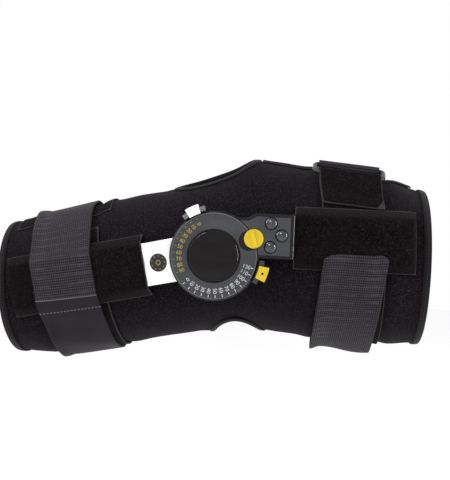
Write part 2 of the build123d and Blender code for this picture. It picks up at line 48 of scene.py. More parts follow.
# ---- camera ----
CAMERA_DISTANCE = 690.0  # from the lateral dial's face
CAMERA_YAW = 5.0  # degrees, from the thigh's side
CAMERA_ROLL = 2.7
CAMERA_ASIDE = 8.9  # the view's middle lies to the right of the dial and above it
CAMERA_ABOVE = 12.4
LENS = 66.8

# ---- leg: half sizes of the wrap's section at places along the leg ----
REST_FLEXION = 12.5
KNEE_BEND_HALF = 40.0  # the leg's line turns between these places either side of the axis
FRONT = (
    (-177, 59), (-150, 59.5), (-100, 61.5), (-60, 64), (-35, 63), (-15, 66.5), (5, 72.5),
    (26, 79), (45, 81), (67, 78), (90, 75.5), (112, 72.5), (135, 69.5), (150, 67), (168, 61),
)
BACK = (
    (-177, 52), (-162, 57.5), (-140, 60.5), (-60, 61.5), (-18, 62.5), (12, 61.5), (35, 62.5),
    (60, 65), (75, 66.5), (110, 67), (150, 68.5), (168, 67),
)
SIDE = (
    (-177, 58.5), (-130, 60.5), (-90, 61.5), (-50, 65), (0, 70.3), (60, 71), (110, 71), (166, 69),
)
WRAP_START = -177.0
WRAP_END = 168.0
WALL = 4.6
CALF_END_SKEW = 12.0  # the calf's end reaches further down behind
THIGH_SLOPE = 5.2  # degrees that the thigh's ring and strap lean from the hinge's arm
LIP_RISE = 4.5  # the wrap's raised corner above the kneecap
LIP_AT = (26.0, 13.0)
LIP_SPREAD = (12.0, 17.0)

# ---- webbing ----
WEBBING = 50.0
BAND_T = 1.6
STRAP_T = 1.7
FLAP_T = 1.0
THIGH = {
    "sign": 1, "band": 109.4, "strap": 110.0, "ring": "thigh_ring", "tilt": 26.0, "body": "thigh",
    "slope": math.tan(math.radians(THIGH_SLOPE)), "strap_end": 87.5, "seam": 0.0,
}
CALF = {
    "sign": -1, "band": -119.0, "strap": -125.0, "ring": "calf_ring", "tilt": 52.0, "body": "shin",
    "slope": 0.0, "strap_end": 91.0, "seam": 194.0,
}
BAND_STANDOFF = 1.3  # from the wrap to the band's inner face
LAYERS_UNDER_STRAP = BAND_T + 1.9
RING_HALF_WIDTH = 8.0
RING_BAR_R = 2.2
RING_PLAY = 0.1  # between a ring's bar and the webbing turned round it
BAND_END_TURN = 310.0
FLAP_RADIUS = 72.0  # turns degrees across a flap into its width
THIGH_FLAP = {"ends": (33.0, 156.0), "turns": (-34.0, 15.0)}
CALF_FLAP = {"ends": (-166.0, -84.0), "turns": (-15.0, 34.0)}
SLACK_RISE = 6.0  # the loose loop of the thigh strap, below
STRAP_CORNER = 6.0
STRAP_ASKEW = 0.048  # degrees round the leg for each millimetre across: its cut end slants

# ---- bar covers, along the leg ----
COVER_T = 1.5
THIGH["cover"] = {"ends": (61.4, 157.0), "bar_edges": (0.5, 34.0)}
CALF["cover"] = {"ends": (-56.5, -173.0), "bar_edges": (-14.7, 19.3)}
COVER_END_SLOPE = 6.0  # a cover comes down to the wrap past the bar's end, over this length
SHIN_BAR_BEND = (-37.0, -100.0)  # the shin bar slopes in between these places
SHIN_BAR_DROP = 13.1
COVER_OVER_BAR = 1.75

# ---- openings in the wrap: middle (u, turn), half length and half width ----
STEP_U = 3.5
STEP_TURN = 3.0
PATELLA = {"at": (0.0, 12.0), "half": (27.0, 17.0), "cells": (7, 5)}
POPLITEAL = {"at": (10.5, 180.0), "half": (24.0, 34.0), "cells": (6, 9)}
OPENING_MARGIN = 6  # cells that ease from an opening's oval to the plain grid

# ---- hinge, in its own plane about the pivot ----
DIAL_FACE = 86.45  # from the leg's middle plane
NUMERAL_R = 27.2
NUMERAL_SIZE = 4.3
TICK_R = (30.4, 32.4)
TICK_W = 0.42
PRINT_LIFT = 0.05
EDGE_ROUND = 0.18
BADGE_R = 7.1
EXTENSION_SCALE = {"angles": (117, 207), "count": 10, "inward": True, "ticks": 0.6}
FLEXION_SCALE = {"angles": (225, 345), "count": 13, "inward": False, "ticks": 1.0}
DEGREES_PER_MARK = 10

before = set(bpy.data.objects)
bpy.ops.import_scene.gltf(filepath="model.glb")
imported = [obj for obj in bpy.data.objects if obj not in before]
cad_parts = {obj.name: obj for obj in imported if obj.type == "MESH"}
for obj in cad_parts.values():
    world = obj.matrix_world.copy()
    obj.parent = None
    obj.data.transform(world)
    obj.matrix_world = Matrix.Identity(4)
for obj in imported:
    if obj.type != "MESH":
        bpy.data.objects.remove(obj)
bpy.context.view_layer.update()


# ---- small helpers ----


def srgb(red, green, blue):
    """A colour as the eye names it, 0 to 255, turned linear."""
    linear = []
    for value in (red, green, blue):
        c = value / 255
        linear.append(c / 12.92 if c <= 0.04045 else ((c + 0.055) / 1.055) ** 2.4)
    return (*linear, 1.0)


def ease(x):
    x = np.clip(x, 0.0, 1.0)
    return x * x * (3 - 2 * x)


def window(u, middle, half, edge):
    """1 inside a stretch of the leg, easing to 0 outside it."""
    return ease((half + edge - np.abs(u - middle)) / edge)


def along(u, stations, spread=9.0):
    """A smooth curve through a few stations, by a running mean of straight runs."""
    places, values = np.array(stations, float).T
    offsets = np.linspace(-spread, spread, 9)
    weights = np.cos(offsets / spread * math.pi / 2.2)
    total = sum(w * np.interp(u + d, places, values) for d, w in zip(offsets, weights))
    return total / weights.sum()


# ---- the leg's surface ----


def spine(u):
    """The leg's line in its side plane, and the front direction there."""
    turn = math.radians(REST_FLEXION)
    share = np.clip((u + KNEE_BEND_HALF) / (2 * KNEE_BEND_HALF), 0, 1)
    shin_x, shin_z = math.cos(turn), math.sin(turn)
    x = np.where(u < -KNEE_BEND_HALF, u * shin_x, u)
    z = np.where(u < -KNEE_BEND_HALF, u * shin_z, 0.0)
    bend = np.abs(u) < KNEE_BEND_HALF
    start = -KNEE_BEND_HALF * (1 - share) ** 2
    x = np.where(bend, start * shin_x + KNEE_BEND_HALF * share**2, x)
    z = np.where(bend, start * shin_z, z)
    tangent_x = (1 - share) * shin_x + share
    tangent_z = (1 - share) * shin_z
    length = np.hypot(tangent_x, tangent_z)
    return x, z, -tangent_z / length, tangent_x / length


def cinch(u):
    """How far the webbing draws the padded wall in, with a swell beside each edge."""
    total = 0.0
    for limb in (THIGH, CALF):
        near = np.abs(u - limb["band"])
        total = total - 1.3 * window(u, limb["band"], WEBBING / 2 - 2, 6)
        total = total + 0.9 * np.exp(-(((near - WEBBING / 2 - 9) / 6.5) ** 2))
    return total


def section(u, turn, out=0.0):
    """A place's lateral and front distances from the leg's line."""
    a = np.radians(turn)
    front, back, side = (along(u, stations) for stations in (FRONT, BACK, SIDE))
    off = (np.mod(turn + 180, 360) - 180 - LIP_AT[1]) / LIP_SPREAD[1]
    lip = LIP_RISE * np.exp(-(((u - LIP_AT[0]) / LIP_SPREAD[0]) ** 2) - off**2)
    reach = np.where(np.cos(a) > 0, front, back)
    drawn = cinch(u) + out
    return (side + drawn + 0.5 * lip) * np.sin(a), (reach + drawn + lip) * np.cos(a)


def stand(u, lateral, front):
    """World points of section distances."""
    x, z, nx, nz = spine(u)
    return np.stack([x + nx * front, -lateral + 0 * x, z + nz * front], -1)


def leg(u, turn, out=0.0):
    lateral, front = section(u, turn, out)
    skew = CALF_END_SKEW * ease((-130 - u) / 47) * (1 - np.cos(np.radians(turn))) / 2
    return stand(u - skew, lateral, front)


# ---- meshes ----


def grid_faces(rows, cols, closed=False, kept=None):
    faces = []
    for i in range(rows - 1):
        for j in range(cols if closed else cols - 1):
            if kept is None or kept(i, j):
                k = (j + 1) % cols
                faces.append((i * cols + j, i * cols + k, (i + 1) * cols + k, (i + 1) * cols + j))
    return faces


def note(mesh, name, values):
    """Keep a vector per vertex for the materials."""
    attribute = mesh.attributes.new(name, "FLOAT_VECTOR", "POINT")
    attribute.data.foreach_set("vector", np.asarray(values, np.float32).ravel())


def make(name, points, faces, cloth=None):
    """A mesh object from points in millimetres. cloth is (along, across, from the edge)."""
    flat = np.asarray(points, float).reshape(-1, 3) * MM
    mesh = bpy.data.meshes.new(name)
    mesh.from_pydata(flat.tolist(), [], faces)
    note(mesh, "rest", flat)
    if cloth is not None:
        note(mesh, "cloth", np.asarray(cloth, float).reshape(-1, 3) * MM)
    piece = bpy.data.objects.new(name, mesh)
    bpy.context.scene.collection.objects.link(piece)
    drop_loose(piece)
    return piece


def drop_loose(piece):
    """Remove the points that no face uses."""
    mesh = piece.data
    used = np.zeros(len(mesh.vertices), bool)
    corners = np.zeros(len(mesh.loops), np.int32)
    mesh.loops.foreach_get("vertex_index", corners)
    used[corners] = True
    if used.all():
        return
    work = bmesh.new()
    work.from_mesh(mesh)
    bmesh.ops.delete(work, geom=[v for v in work.verts if not used[v.index]], context="VERTS")
    work.to_mesh(mesh)
    work.free()


def smooth(piece, angle=38.0):
    piece.data.shade_smooth()
    piece.data.set_sharp_from_angle(angle=math.radians(angle))


def settle(piece):
    """Apply every modifier."""
    depsgraph = bpy.context.evaluated_depsgraph_get()
    mesh = bpy.data.meshes.new_from_object(piece.evaluated_get(depsgraph))
    piece.modifiers.clear()
    piece.data = mesh
    smooth(piece)


def thicken(piece, thickness, offset, round_by=0.35, levels=0):
    """Give a sheet its thickness, with rounded edges."""
    shell = piece.modifiers.new("shell", "SOLIDIFY")
    shell.thickness = thickness * MM
    shell.offset = offset
    shell.use_even_offset = False
    if round_by:
        edge = piece.modifiers.new("edge", "BEVEL")
        edge.width = round_by * MM
        edge.segments = 2
        edge.limit_method = "ANGLE"
        edge.angle_limit = math.radians(55)
    if levels:
        finer = piece.modifiers.new("finer", "SUBSURF")
        finer.levels = levels
    settle(piece)


def places_of(mesh):
    co = np.zeros(len(mesh.vertices) * 3, np.float32)
    mesh.vertices.foreach_get("co", co)
    return co.reshape(-1, 3).astype(float)


def swell(piece, held, pressure, cap):
    """Puff out a padded sheet with a short cloth simulation; held says which points stay."""
    scene = bpy.context.scene
    before = places_of(piece.data)
    group = piece.vertex_groups.new(name="held")
    group.add([int(i) for i in np.flatnonzero(held)], 1.0, "REPLACE")
    cloth = piece.modifiers.new("cloth", "CLOTH")
    cloth.settings.vertex_group_mass = "held"
    cloth.settings.use_pressure = True
    cloth.settings.uniform_pressure_force = pressure
    cloth.settings.effector_weights.gravity = 0
    cloth.settings.quality = 6
    cloth.collision_settings.use_collision = False
    cloth.point_cache.frame_start = 1
    cloth.point_cache.frame_end = 20
    for step in range(1, 21):
        scene.frame_set(step)
    depsgraph = bpy.context.evaluated_depsgraph_get()
    after = places_of(piece.evaluated_get(depsgraph).data)
    piece.modifiers.clear()
    piece.vertex_groups.clear()
    scene.frame_set(1)
    shift = after - before
    length = np.linalg.norm(shift, axis=1, keepdims=True)
    shift *= np.minimum(1.0, cap * MM / np.maximum(length, 1e-9))
    piece.data.vertices.foreach_set("co", (before + shift).astype(np.float32).ravel())
    piece.data.update()


def follow_knee(piece):
    """Bake a piece's placing into its mesh and read back its points; it is not bent round the knee
    here."""
    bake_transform(piece)
    co = places_of(piece.data)


def worn(piece, material, slot, *nodes):
    """Give a piece its material, hide the CAD nodes that it stands for, and bake its placing."""
    piece.data.materials.clear()
    piece.data.materials.append(material)
    if nodes:
        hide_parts(*nodes)
    follow_knee(piece)


# ---- material nodes ----


class Finish:
    """A material under construction: its tree, its shader, and short ways to add nodes."""

    def __init__(self, name, **sockets):
        self.material = bpy.data.materials.new(name)
        self.material.use_nodes = True
        self.tree = self.material.node_tree
        self.shader = self.tree.nodes["Principled BSDF"]
        for socket, value in sockets.items():
            self.shader.inputs[socket.replace("_", " ")].default_value = value

    def add(self, kind, settings=(), **links):
        node = self.tree.nodes.new(kind)
        for key, value in dict(settings).items():
            setattr(node, key, value)
        for socket, value in links.items():
            by_number = socket[0] == "i" and socket[1:].isdigit()
            target = node.inputs[int(socket[1:]) if by_number else socket]
            if isinstance(value, bpy.types.NodeSocket):
                self.tree.links.new(value, target)
            else:
                target.default_value = value
        return node

    def place(self, stretch=(1, 1, 1), attribute=None):
        """Object coordinates, or a kept attribute, scaled."""
        if attribute:
            source = self.add("ShaderNodeAttribute", {"attribute_name": attribute}).outputs["Vector"]
        else:
            source = self.add("ShaderNodeTexCoord").outputs["Object"]
        return self.add("ShaderNodeMapping", Vector=source, Scale=stretch).outputs["Vector"]

    def noise(self, vector, scale, detail=3.0, rough=0.55):
        settings = {"noise_dimensions": "3D"}
        node = self.add("ShaderNodeTexNoise", settings, Vector=vector, Scale=scale, Detail=detail)
        node.inputs["Roughness"].default_value = rough
        return node.outputs["Fac"]

    def cells(self, vector, scale, feature="F1"):
        node = self.add("ShaderNodeTexVoronoi", {"feature": feature}, Vector=vector, Scale=scale)
        return node.outputs["Distance"]

    def wave(self, vector, scale, axis="X", distortion=0.0):
        settings = {"wave_type": "BANDS", "bands_direction": axis}
        node = self.add("ShaderNodeTexWave", settings, Vector=vector, Scale=scale)
        node.inputs["Distortion"].default_value = distortion
        return node.outputs["Fac"]

    def math(self, operation, *values):
        links = {f"i{index}": value for index, value in enumerate(values)}
        return self.add("ShaderNodeMath", {"operation": operation}, **links).outputs[0]

    def ramp(self, factor, *stops):
        """Colours or greys at places along a factor."""
        node = self.add("ShaderNodeValToRGB", Fac=factor)
        elements = node.color_ramp.elements
        while len(elements) < len(stops):
            elements.new(0.5)
        for element, (place, colour) in zip(elements, stops):
            element.position = place
            element.color = colour if hasattr(colour, "__len__") else (colour, colour, colour, 1)
        return node.outputs["Color"]

    def mix(self, factor, first, second):
        node = self.add("ShaderNodeMix", {"data_type": "RGBA"})
        for index, value in ((0, factor), (6, first), (7, second)):
            if isinstance(value, bpy.types.NodeSocket):
                self.tree.links.new(value, node.inputs[index])
            else:
                node.inputs[index].default_value = value
        return node.outputs[2]

    def paint(self, colour, roughness=None):
        self.tree.links.new(colour, self.shader.inputs["Base Color"])
        if roughness is not None:
            self.tree.links.new(roughness, self.shader.inputs["Roughness"])

    def bump(self, *heights):
        """Relief from (height, depth in mm, strength) layers."""
        normal = None
        for height, depth, strength in heights:
            node = self.add("ShaderNodeBump", Height=height, Distance=depth * MM, Strength=strength)
            if normal is not None:
                self.tree.links.new(normal, node.inputs["Normal"])
            normal = node.outputs["Normal"]
        self.tree.links.new(normal, self.shader.inputs["Normal"])


def neoprene():
    """Foam faced with a fine knit: ribs of small loops, a little lint and shade variation."""
    f = Finish("neoprene_knit", Sheen_Weight=0.03, Sheen_Roughness=0.5, Specular_IOR_Level=0.04)
    place = f.place(attribute="rest")
    knit = f.cells(place, 1100)
    cloud = f.noise(place, 26, 4)
    lint = f.noise(place, 900, 2, 0.7)
    base = f.ramp(cloud, (0.3, srgb(7, 4, 6)), (0.72, srgb(15, 11, 15)))
    speck = f.ramp(lint, (0.5, 0.0), (0.7, 0.6))
    f.paint(f.mix(speck, base, srgb(50, 44, 52)), f.ramp(cloud, (0.3, 0.82), (0.7, 0.95)))
    f.bump((f.noise(place, 90, 3), 0.5, 0.25), (knit, 0.25, 0.6))
    return f.material


def loop_pile():
    """Brushed loop fabric for hook fastening, with a painted highlight that lightens it along its
    edges.
    """
    f = Finish("loop_pile", Sheen_Weight=0.02, Sheen_Roughness=0.6, Specular_IOR_Level=0.02)
    place = f.place(attribute="rest")
    fuzz = f.noise(place, 1500, 5, 0.75)
    nap = f.noise(place, 45, 4, 0.6)
    edge = f.add("ShaderNodeSeparateXYZ", Vector=f.place(attribute="cloth")).outputs["Z"]
    base = f.ramp(nap, (0.3, srgb(5, 3, 4)), (0.75, srgb(11, 8, 9)))
    base = f.mix(f.ramp(f.noise(place, 750, 3, 0.8), (0.5, 0.0), (0.72, 0.6)), base, srgb(44, 41, 39))
    # Painted highlight: lighter within a millimetre of the webbing's edges, where its fuzz would
    # catch the light.
    painted_edge_highlight = f.ramp(f.math("MULTIPLY", edge, 1000.0), (0.2, 0.8), (1.0, 0.0))
    f.paint(f.mix(painted_edge_highlight, base, srgb(58, 55, 57)), f.ramp(nap, (0.3, 0.88), (0.7, 1.0)))
    f.bump((nap, 0.4, 0.3), (fuzz, 0.35, 0.7))
    return f.material


def hook_webbing(name, plain_below):
    """Hook strap: rows of small hooks with faint creases between. If plain_below, the hooks
    are a patch that ends at the seam, with a line of stitches in the plain webbing below."""
    f = Finish(name, Sheen_Weight=0.05, Sheen_Roughness=0.4, Specular_IOR_Level=0.08)
    cloth = f.place(attribute="cloth")
    rows = f.wave(cloth, 150, "X")
    ribs = f.wave(cloth, 190, "Y", 1.0)
    hooks = f.math("MULTIPLY", rows, ribs)
    crease = f.wave(f.place((1, 0.25, 1), "cloth"), 42, "X", 2.5)
    crease = f.math("MULTIPLY", crease, f.noise(f.place((0.3, 1, 1), "cloth"), 55, 2))
    cloud = f.noise(cloth, 40, 4, 0.6)
    if plain_below:
        apart = f.add("ShaderNodeSeparateXYZ", Vector=cloth)
        past = f.math("MULTIPLY_ADD", apart.outputs["X"], 1000.0, 0.5)
        hooks = f.math("MULTIPLY", hooks, f.ramp(past, (0.0, 0.0), (1.0, 1.0)))
        crease = f.math("MULTIPLY", crease, f.ramp(past, (0.0, 0.0), (1.0, 1.0)))
    base = f.ramp(cloud, (0.3, srgb(26, 23, 27)), (0.75, srgb(37, 34, 39)))
    speck = f.math("MULTIPLY", hooks, f.noise(cloth, 700, 3, 0.8))
    colour = f.mix(f.ramp(speck, (0.1, 0.0), (0.6, 0.75)), base, srgb(84, 82, 89))
    colour = f.mix(f.ramp(crease, (0.42, 0.0), (0.7, 0.14)), colour, srgb(110, 107, 112))
    if plain_below:
        off = f.math("ABSOLUTE", f.math("ADD", apart.outputs["X"], 12 * MM))
        line = f.ramp(f.math("MULTIPLY", off, 1000.0), (0.2, 1.0), (0.45, 0.0))
        stitch = f.math("MULTIPLY", line, f.ramp(f.wave(cloth, 110, "Y"), (0.3, 0.0), (0.5, 0.8)))
        step = f.math("MULTIPLY", f.math("ABSOLUTE", apart.outputs["X"]), 1000.0)
        edge = f.ramp(step, (0.25, 0.45), (0.5, 0.0))
        colour = f.mix(f.math("MAXIMUM", stitch, edge), colour, srgb(118, 117, 122))
    f.paint(colour, f.ramp(cloud, (0.3, 0.6), (0.7, 0.8)))
    f.bump((cloud, 0.5, 0.25), (hooks, 0.4, 0.8))
    return f.material


def tape():
    """Ribbed binding tape with a line of stitches along its middle."""
    f = Finish("binding_tape", Sheen_Weight=0.05, Specular_IOR_Level=0.1)
    cloth = f.place(attribute="cloth")
    rib = f.wave(cloth, 330, "X")
    cloud = f.noise(f.place(attribute="rest"), 60, 3)
    across = f.add("ShaderNodeSeparateXYZ", Vector=cloth)
    seam = f.math("ABSOLUTE", f.math("SUBTRACT", across.outputs["Y"], 0.0034))
    line = f.ramp(f.math("MULTIPLY", seam, 1000.0), (0.25, 1.0), (0.5, 0.0))
    dashes = f.ramp(f.wave(cloth, 130, "X"), (0.35, 0.0), (0.5, 1.0))
    stitch = f.math("MULTIPLY", line, dashes)
    base = f.ramp(cloud, (0.3, srgb(13, 11, 12)), (0.7, srgb(20, 17, 19)))
    f.paint(f.mix(stitch, base, srgb(46, 43, 46)), f.ramp(cloud, (0.3, 0.7), (0.7, 0.85)))
    f.bump((rib, 0.25, 0.5), (stitch, 0.4, 0.8))
    return f.material


def moulded(name, dark, light, rough=(0.34, 0.5), level=0.4):
    """Injection-moulded plastic: fine spark grain, faint flow marks and rubbed places."""
    f = Finish(name, Specular_IOR_Level=level)
    place = f.place()
    grain = f.noise(place, 1400, 3, 0.6)
    flow = f.noise(f.place((1, 1, 3)), 22, 4)
    rub = f.noise(place, 160, 5, 0.65)
    base = f.ramp(flow, (0.3, dark), (0.72, light))
    scuff = f.ramp(rub, (0.66, 0.0), (0.8, 0.3))
    worn_colour = tuple(min(1.0, c * 1.9 + 0.01) for c in light[:3]) + (1.0,)
    f.paint(f.mix(scuff, base, worn_colour), f.ramp(rub, (0.3, rough[0]), (0.75, rough[1])))
    f.bump((grain, 0.06, 0.35), (flow, 0.1, 0.1))
    return f.material


def dial_grey():
    """The dial and arm: grey faces, near black below the face's level (painted shade in the grooves,
    and the lower flange), and a painted highlight line round the dial's edge."""
    f = Finish("dial_grey", Specular_IOR_Level=0.22)
    place = f.place()
    apart = f.add("ShaderNodeSeparateXYZ", Vector=place)
    height = f.math("MULTIPLY", f.math("ABSOLUTE", apart.outputs["Y"]), 1 / (100 * MM))
    # 1 at the face's level; below it the colour turns near black: painted shade in the grooves, and
    # on the lower flange.
    face = f.ramp(height, ((DIAL_FACE - 0.4) / 100, 0.0), ((DIAL_FACE - 0.15) / 100, 1.0))
    across = f.math("MULTIPLY", apart.outputs["X"], apart.outputs["X"])
    up = f.math("MULTIPLY", apart.outputs["Z"], apart.outputs["Z"])
    far = f.math("MULTIPLY", f.math("SQRT", f.math("ADD", across, up)), 1 / (100 * MM))
    # Painted highlight: a lighter line round the dial's edge, where its rim catches the light.
    rim = f.ramp(far, (0.329, 0.0), (0.334, 0.5), (0.336, 0.5), (0.337, 0.0))
    flow = f.noise(f.place((1, 1, 3)), 22, 4)
    grain = f.noise(place, 1400, 3, 0.6)
    rub = f.noise(place, 160, 5, 0.65)
    base = f.ramp(flow, (0.3, srgb(50, 51, 54)), (0.72, srgb(62, 63, 67)))
    scuff = f.ramp(rub, (0.66, 0.0), (0.8, 0.25))
    faces = f.mix(scuff, base, srgb(96, 97, 100))
    faces = f.mix(rim, faces, srgb(128, 128, 130))
    # Near black below the face: painted shade in the grooves, and the lower flange.
    f.paint(f.mix(face, srgb(15, 15, 16), faces), f.ramp(rub, (0.3, 0.32), (0.75, 0.5)))
    f.bump((grain, 0.06, 0.35), (flow, 0.1, 0.1))
    return f.material


def gloss_black():
    """Polished cap with dust and hairline scratches in its clear coat."""
    f = Finish("gloss_black", Coat_Weight=0.3, Coat_Roughness=0.05, Specular_IOR_Level=0.04)
    place = f.place()
    dust = f.noise(place, 700, 2, 0.7)
    smear = f.noise(f.place((1, 1, 4)), 60, 3)
    base = f.ramp(smear, (0.3, srgb(8, 6, 6)), (0.8, srgb(17, 12, 12)))
    dusty = f.mix(f.ramp(dust, (0.68, 0.0), (0.8, 0.4)), base, srgb(34, 30, 31))
    f.paint(dusty, f.ramp(smear, (0.3, 0.06), (0.8, 0.16)))
    f.bump((smear, 0.03, 0.1))
    return f.material


def metal(name, tint, rough, stretch, strength=0.25, metallic=1.0):
    """Drawn or turned metal: fine lines one way, with a few scratches and dull places."""
    f = Finish(name, Metallic=metallic)
    lines = f.noise(f.place(stretch), 350, 3, 0.6)
    dull = f.noise(f.place(), 60, 4)
    base = f.ramp(dull, (0.3, tuple(c * 0.86 for c in tint[:3]) + (1,)), (0.7, tint))
    f.paint(base, f.ramp(lines, (0.3, rough[0]), (0.75, rough[1])))
    f.bump((lines, 0.03, strength))
    return f.material


def badge_finish():
    """Plain dark plate with a dashed ring and a small one, in dull yellow, about its middle."""
    low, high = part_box("lateral_badge_disc")
    middle = (low + high) / 2
    f = Finish("badge_print", Specular_IOR_Level=0.4, Roughness=0.3)
    source = f.add("ShaderNodeTexCoord").outputs["Object"]
    apart = f.add("ShaderNodeSeparateXYZ", Vector=source)
    dx = f.math("SUBTRACT", apart.outputs["X"], middle.x)
    dz = f.math("SUBTRACT", apart.outputs["Z"], middle.z)
    far = f.math("SQRT", f.math("ADD", f.math("MULTIPLY", dx, dx), f.math("MULTIPLY", dz, dz)))
    share = f.math("MULTIPLY", far, 1 / (BADGE_R * MM))
    ring = f.ramp(share, (0.66, 0.0), (0.68, 1.0), (0.8, 1.0), (0.82, 0.0))
    around = f.math("ARCTAN2", dz, dx)
    dashes = f.ramp(f.math("SINE", f.math("MULTIPLY", around, 9.0)), (0.45, 0.0), (0.6, 0.7))
    middle_ring = f.ramp(share, (0.16, 0.0), (0.2, 0.8), (0.28, 0.8), (0.32, 0.0))
    mark = f.math("MAXIMUM", f.math("MULTIPLY", ring, dashes), middle_ring)
    cloud = f.noise(source, 900, 3)
    plate = f.ramp(cloud, (0.3, srgb(14, 12, 13)), (0.7, srgb(24, 22, 23)))
    f.paint(f.mix(mark, plate, srgb(120, 112, 74)))
    f.bump((mark, 0.08, 0.5))
    return f.material


def printed(name, colour):
    """Printing ink, slightly uneven."""
    f = Finish(name, Specular_IOR_Level=0.3, Roughness=0.55)
    wear = f.noise(f.place(), 1500, 3, 0.7)
    faded = tuple(c * 0.72 for c in colour[:3]) + (1,)
    f.paint(f.ramp(wear, (0.3, faded), (0.6, colour)))
    return f.material


def pale_floor():
    f = Finish("pale_floor", Roughness=0.9, Specular_IOR_Level=0.1)
    cloud = f.noise(f.place(), 3, 2)
    f.paint(f.ramp(cloud, (0.3, (0.93, 0.93, 0.93, 1)), (0.7, (0.96, 0.96, 0.96, 1))))
    return f.material


# ---- wrap ----


def eased_grid(u, turn):
    """Move the grid's points so that each opening's square hole becomes an oval."""
    for hole in (PATELLA, POPLITEAL):
        cells = hole["cells"]
        du = (u - hole["at"][0]) / STEP_U
        dv = (turn - hole["at"][1]) / STEP_TURN
        ring = np.maximum(np.abs(du) - cells[0], np.abs(dv) - cells[1]) / OPENING_MARGIN
        near = (ring > -1e-6) & (ring < 1)
        t = np.clip(ring, 0, 1)
        grown_u = cells[0] + t * OPENING_MARGIN
        grown_v = cells[1] + t * OPENING_MARGIN
        at = np.arctan2(dv / grown_v, du / grown_u)
        radius = float(section(np.array(hole["at"][0]), np.array(hole["at"][1]))[1])
        half_turn = math.degrees(hole["half"][1] / abs(radius))
        oval_u = (hole["half"][0] + t * OPENING_MARGIN * STEP_U) * np.cos(at)
        oval_v = (half_turn + t * OPENING_MARGIN * STEP_TURN) * np.sin(at)
        keep = ease(t)
        u = np.where(near, hole["at"][0] + (1 - keep) * oval_u + keep * du * STEP_U, u)
        turn = np.where(near, hole["at"][1] + (1 - keep) * oval_v + keep * dv * STEP_TURN, turn)
    return u, turn


def in_opening(u, turn):
    """Whether a cell's middle lies in an opening's square hole."""
    for hole in (PATELLA, POPLITEAL):
        du = abs(u - hole["at"][0]) / STEP_U
        off = (turn - hole["at"][1] + 180) % 360 - 180
        if du < hole["cells"][0] and abs(off) / STEP_TURN < hole["cells"][1]:
            return True
    return False


def creases(points, u, turn):
    """Shallow folds in the free parts of the wrap, deeper beside the knee's back."""
    depth = np.zeros(len(points))
    for i, p in enumerate(points):
        broad = noise.noise(Vector(p) * 0.035)
        fold = noise.noise(Vector((p[0] * 0.06, p[1] * 0.015, p[2] * 0.05 + 7)))
        depth[i] = -0.55 * abs(broad) - 0.8 * max(0.0, fold)
    free = 1 - np.maximum(
        window(u, THIGH["band"], WEBBING / 2 + 4, 10), window(u, CALF["band"], WEBBING / 2 + 4, 10)
    )
    behind = 1 + 1.6 * np.exp(-((u / 40) ** 2)) * np.clip(-np.cos(np.radians(turn)), 0, 1)
    return depth * free * behind


def wrap():
    """The padded sleeve, one closed sheet with its two openings."""
    cols = int(round(360 / STEP_TURN))
    places = PATELLA["at"][0] + STEP_U * np.arange(-60, 60)
    places = places[(places >= WRAP_START + 1) & (places <= WRAP_END - 1)]
    places = np.concatenate([[WRAP_START], places, [WRAP_END]])
    rows = len(places)
    turns = np.arange(cols) * STEP_TURN - 90.0
    flat_u, flat_turn = (g.ravel() for g in np.meshgrid(places, turns, indexing="ij"))
    u, turn = eased_grid(flat_u, flat_turn)
    points = leg(u, turn)
    inward = leg(u, turn, 1.0) - points
    inward /= np.linalg.norm(inward, axis=1, keepdims=True)
    points = points + inward * creases(points, u, turn)[:, None]

    def kept(i, j):
        return not in_opening((places[i] + places[i + 1]) / 2, turns[j] + STEP_TURN / 2)

    cloth = np.stack([u, np.radians(turn) * 68, 0 * u + 20], -1)
    piece = make("neoprene_wrap", points, grid_faces(rows, cols, True, kept), cloth)
    co = places_of(piece.data) / MM
    rim = np.zeros(len(co), bool)
    counts = {}
    for polygon in piece.data.polygons:
        for key in polygon.edge_keys:
            counts[key] = counts.get(key, 0) + 1
    for key, uses in counts.items():
        if uses == 1:
            rim[list(key)] = True
    banded = (co[:, 0] > THIGH["band"] - 30) | (co[:, 0] < CALF["band"] + 30)
    by_hinge = (np.abs(co[:, 1]) > 60) & (np.abs(co[:, 0]) < 65)
    swell(piece, rim | banded | by_hinge, 2.5, 1.6)
    thicken(piece, WALL, -1, round_by=0.8)
    return piece


# ---- bindings ----


def rim_of(hole, count=96):
    """An opening's edge as (u, turn), and the direction away from it."""
    at = np.linspace(0, 2 * math.pi, count, endpoint=False)
    radius = abs(float(section(np.array(hole["at"][0]), np.array(hole["at"][1]))[1]))
    half_turn = math.degrees(hole["half"][1] / radius)
    u = hole["at"][0] + hole["half"][0] * np.cos(at)
    turn = hole["at"][1] + half_turn * np.sin(at)
    out_u = np.cos(at) / hole["half"][0]
    out_v = np.sin(at) / hole["half"][1]
    length = np.hypot(out_u, out_v)
    return u, turn, out_u / length, np.degrees(out_v / length / radius)


def end_rim(place, count=120):
    turn = np.linspace(0, 360, count, endpoint=False)
    direction = -1.0 if place > 0 else 1.0
    return place + 0 * turn, turn, direction + 0 * turn, 0 * turn


